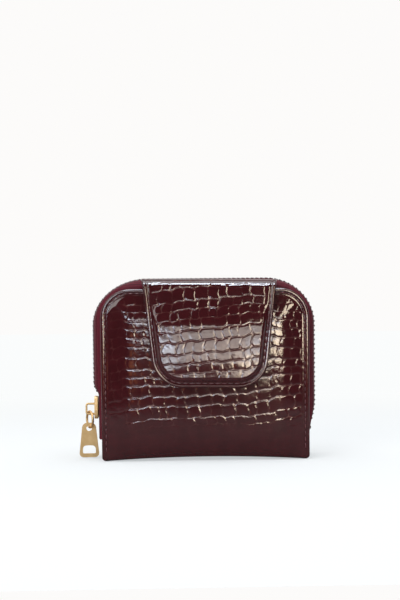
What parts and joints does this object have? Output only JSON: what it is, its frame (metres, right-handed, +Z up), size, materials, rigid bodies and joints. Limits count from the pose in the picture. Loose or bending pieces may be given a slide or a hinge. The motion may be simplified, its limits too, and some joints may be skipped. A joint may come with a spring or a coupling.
{
  "type": "zip-around wallet with front flap",
  "caption": "Compact zip-around wallet: two lined covers on a spine, flap over a front pocket, card pockets, zipped coin pocket, slider with ring and tab.",
  "frame": {"origin": "middle of the flat underside of the spine", "axes": "+X along the spine, to the right seen from the flap's side; +Y from the flap's side to the plain rear cover; +Z up from the spine to the zip across the top"},
  "size_m": [0.127, 0.0351, 0.0969],
  "materials": {
    "patent_leather": "glossy burgundy patent, embossed in a scale pattern",
    "lining_cloth": "fine matt lining",
    "zip_cloth": "woven polyester tape, dyed to match",
    "zip_resin": "moulded acetal teeth, dyed to match",
    "gold_metal": "polished pale gold plating",
    "foam": "soft padding",
    "board": "stiffener board",
    "magnet_steel": "plated magnet disc"
  },
  "bodies": {
    "spine": {"spine_cover": "patent_leather", "spine_lining": "lining_cloth", "fold_front": "patent_leather", "fold_rear": "patent_leather", "coin_wall_front": "lining_cloth", "coin_wall_rear": "lining_cloth", "coin_pocket_edge": "lining_cloth", "coin_tape_front": "zip_cloth", "coin_tape_rear": "zip_cloth", "coin_zip_chain": "zip_resin"},
    "front_half": {"front_panel": "patent_leather", "front_panel_foam": "foam", "magnet_socket": "magnet_steel", "front_pocket_lining": "lining_cloth", "front_pocket_side": "patent_leather", "front_wall": "patent_leather", "front_board": "board", "front_lining": "lining_cloth", "front_card_pocket_1": "lining_cloth", "front_card_pocket_2": "lining_cloth", "front_card_pocket_3": "lining_cloth", "flap_root": "patent_leather", "zip_tape_front": "zip_cloth", "zip_teeth_front": "zip_resin"},
    "rear_half": {"rear_cover": "patent_leather", "rear_board": "board", "rear_lining": "lining_cloth", "rear_card_pocket_1": "lining_cloth", "rear_card_pocket_2": "lining_cloth", "rear_card_pocket_3": "lining_cloth", "zip_tape_rear": "zip_cloth", "zip_teeth_rear": "zip_resin", "zip_end_stop": "zip_resin"},
    "flap": {"flap_outer": "patent_leather", "flap_lining": "lining_cloth", "flap_foam": "foam", "magnet_stud": "magnet_steel"},
    "slider": {"slider_body": "gold_metal", "slider_bridge": "gold_metal"},
    "pull_ring": {"pull_ring": "gold_metal"},
    "pull_tab": {"pull_tab": "gold_metal"},
    "coin_slider": {"coin_slider": "gold_metal"},
    "coin_pull": {"coin_pull": "gold_metal"}
  },
  "joints": [
    {"name": "front_open", "type": "hinge", "parent": "spine", "child": "front_half", "pos_m": [0, -0.013, 0.002], "axis": [1, 0, 0], "range_deg": [0, 45], "deforming": ["fold_front"]},
    {"name": "rear_open", "type": "hinge", "parent": "spine", "child": "rear_half", "pos_m": [0, 0.013, 0.002], "axis": [-1, 0, 0], "range_deg": [0, 45], "deforming": ["fold_rear"]},
    {"name": "flap_open", "type": "hinge", "parent": "front_half", "child": "flap", "pos_m": [0.0023, -0.0087, 0.0936], "axis": [-1, 0, 0], "range_deg": [0, 135]},
    {"name": "slider_travel", "type": "slide", "parent": "rear_half", "child": "slider", "axis": [0, 0, 1], "range_m": [0, 0.04], "deforming": ["zip_teeth_front", "zip_teeth_rear", "zip_tape_front", "zip_tape_rear"]},
    {"name": "ring_swing", "type": "hinge", "parent": "slider", "child": "pull_ring", "pos_m": [-0.062, 0.0031, 0.02515], "axis": [-0.4226, 0.9063, 0], "range_deg": [0, 95]},
    {"name": "tab_swing", "type": "hinge", "parent": "pull_ring", "child": "pull_tab", "pos_m": [-0.062, 0.0031, 0.01655], "axis": [-0.4226, 0.9063, 0], "range_deg": [-2, 90]},
    {"name": "coin_slider_travel", "type": "slide", "parent": "spine", "child": "coin_slider", "axis": [1, 0, 0], "range_m": [0, 0.08], "deforming": ["coin_zip_chain"]},
    {"name": "coin_pull_swing", "type": "hinge", "parent": "coin_slider", "child": "coin_pull", "pos_m": [-0.0403, 0.0031, 0.0808], "axis": [0, -1, 0], "range_deg": [0, 135]}
  ],
  "couplings": [
    {"joint": "rear_open", "follows": "front_open", "ratio": 1}
  ]
}
